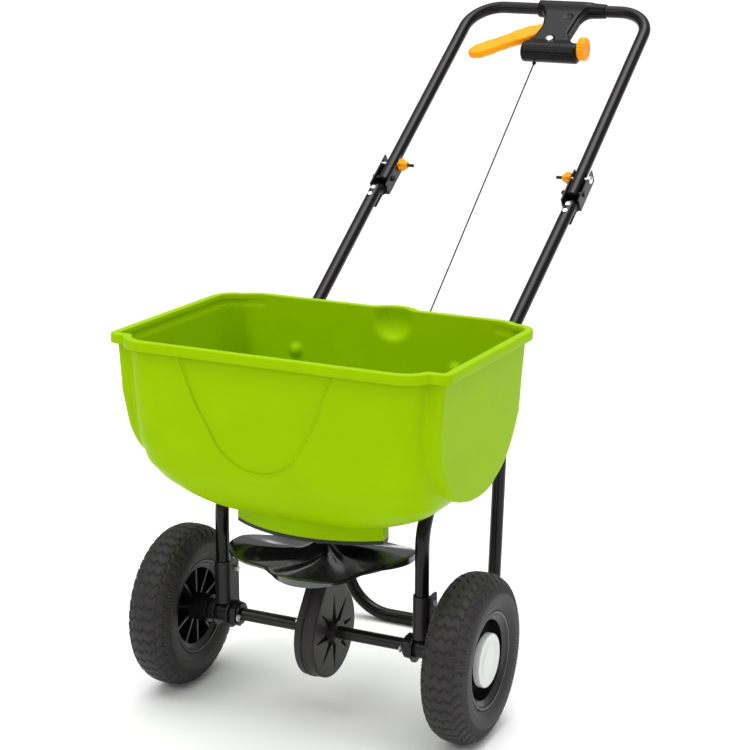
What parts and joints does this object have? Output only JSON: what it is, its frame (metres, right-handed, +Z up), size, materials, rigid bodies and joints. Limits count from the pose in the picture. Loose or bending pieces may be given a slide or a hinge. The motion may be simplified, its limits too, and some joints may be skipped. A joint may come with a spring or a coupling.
{
  "type": "walk-behind broadcast spreader",
  "caption": "Push spreader for seed or fertiliser: an open hopper feeds a spinning impeller geared to the axle between pneumatic tyres, with a folding tube handle and a flow-control lever.",
  "frame": {"origin": "on the ground plane, under the middle of the machine's bounding box", "axes": "+X across the machine along the axle, +Y back from the hopper to the handle, +Z up"},
  "size_m": [0.575, 1.2014, 1.0152],
  "materials": {
    "tube_black": "gloss powder coat",
    "hopper_green": "moulded satin",
    "shutter_black": "satin",
    "shutter_steel": "brushed",
    "zinc": "zinc plated",
    "steel_bright": "ground",
    "impeller_grey": "gloss",
    "case_grey": "matte",
    "bush_nylon": "natural nylon",
    "gear_nylon": "natural nylon",
    "bushing_black": "satin",
    "bracket_dark": "satin powder coat",
    "axle_dark": "dark coated steel",
    "tyre_rubber": "matte rubber",
    "rim_black": "satin",
    "cap_grey": "satin",
    "valve_rubber": "matte",
    "control_black": "fine texture",
    "orange": "moulded",
    "cable_black": "PVC sheath"
  },
  "bodies": {
    "frame": {"lower_tube_left": "tube_black", "lower_tube_right": "tube_black", "stand": "tube_black", "stand_bolts": "zinc", "stand_spacers": "zinc", "cross_strap": "tube_black", "strap_bolts": "zinc", "hopper": "hopper_green", "hopper_bolts": "zinc", "hopper_spacers": "bushing_black", "shutter_housing": "shutter_black", "housing_screws": "zinc", "shaft_bush": "bush_nylon", "axle_bracket_left": "bracket_dark", "axle_bracket_right": "bracket_dark", "bracket_bolts": "zinc", "axle_bushing_left": "bushing_black", "axle_bushing_right": "bushing_black", "fold_bracket_left": "bracket_dark", "fold_bracket_right": "bracket_dark", "bracket_rivets": "zinc", "pivot_bolts": "bracket_dark", "gear_case_left": "case_grey", "gear_case_right": "case_grey", "gear_case_screws": "zinc", "gear_case_bushes": "bush_nylon", "control_cable": "cable_black"},
    "drive_axle": {"axle": "axle_dark", "axle_washers": "bushing_black", "axle_clips": "zinc", "crown_gear": "gear_nylon", "crown_gear_pin": "steel_bright", "rim_left": "rim_black", "tyre_left": "tyre_rubber", "valve_left": "valve_rubber", "hub_cap_left": "cap_grey", "drive_pin": "steel_bright"},
    "free_wheel": {"rim_right": "rim_black", "tyre_right": "tyre_rubber", "valve_right": "valve_rubber", "hub_cap_right": "cap_grey"},
    "spinner": {"impeller_shaft": "steel_bright", "impeller": "impeller_grey", "impeller_pin": "steel_bright", "pinion_gear": "gear_nylon", "agitator": "steel_bright"},
    "shutter": {"shutter_plate": "shutter_steel", "cable_clevis": "zinc"},
    "folding_handle": {"upper_handle": "tube_black", "control_box_top": "control_black", "control_box_bottom": "control_black", "control_screws": "zinc", "trigger_pin": "steel_bright", "trigger_spring": "steel_bright", "lock_bolts": "zinc", "cable_ferrule": "control_black"},
    "trigger": {"trigger": "orange"},
    "flow_dial": {"flow_dial": "orange"},
    "knob_left": {"wing_knob_left": "orange"},
    "knob_right": {"wing_knob_right": "orange"}
  },
  "joints": [
    {"name": "axle_spin", "type": "hinge", "parent": "frame", "child": "drive_axle", "pos_m": [0, -0.41285, 0.13], "axis": [1, 0, 0], "continuous": true},
    {"name": "free_wheel_spin", "type": "hinge", "parent": "frame", "child": "free_wheel", "pos_m": [0.2505, -0.41285, 0.13], "axis": [1, 0, 0], "continuous": true},
    {"name": "spinner_spin", "type": "hinge", "parent": "frame", "child": "spinner", "pos_m": [0, -0.41285, 0.254], "axis": [0, 0, 1], "continuous": true},
    {"name": "handle_fold", "type": "hinge", "parent": "frame", "child": "folding_handle", "pos_m": [0, 0.18515, 0.7315], "axis": [1, 0, 0], "range_deg": [0, 135], "deforming": ["control_cable"]},
    {"name": "trigger_squeeze", "type": "hinge", "parent": "folding_handle", "child": "trigger", "pos_m": [-0.004, 0.54056, 0.96817], "axis": [0, 0.5543, -0.8323], "range_deg": [0, 18], "stiffness_Nm_per_rad": 1, "springref_deg": -17.19},
    {"name": "shutter_slide", "type": "slide", "parent": "frame", "child": "shutter", "axis": [0, 1, 0], "range_m": [0, 0.026]},
    {"name": "dial_turn", "type": "hinge", "parent": "folding_handle", "child": "flow_dial", "pos_m": [0.0715, 0.48868, 0.93963], "axis": [1, 0, 0], "range_deg": [0, 270]},
    {"name": "knob_left_turn", "type": "hinge", "parent": "folding_handle", "child": "knob_left", "pos_m": [-0.15, 0.21511, 0.75145], "axis": [1, 0, 0], "range_deg": [-180, 180]},
    {"name": "knob_right_turn", "type": "hinge", "parent": "folding_handle", "child": "knob_right", "pos_m": [0.15, 0.21511, 0.75145], "axis": [1, 0, 0], "range_deg": [-180, 180]}
  ],
  "couplings": [
    {"joint": "spinner_spin", "follows": "axle_spin", "ratio": -6},
    {"joint": "shutter_slide", "follows": "trigger_squeeze", "m_per_rad": 0.082661}
  ]
}
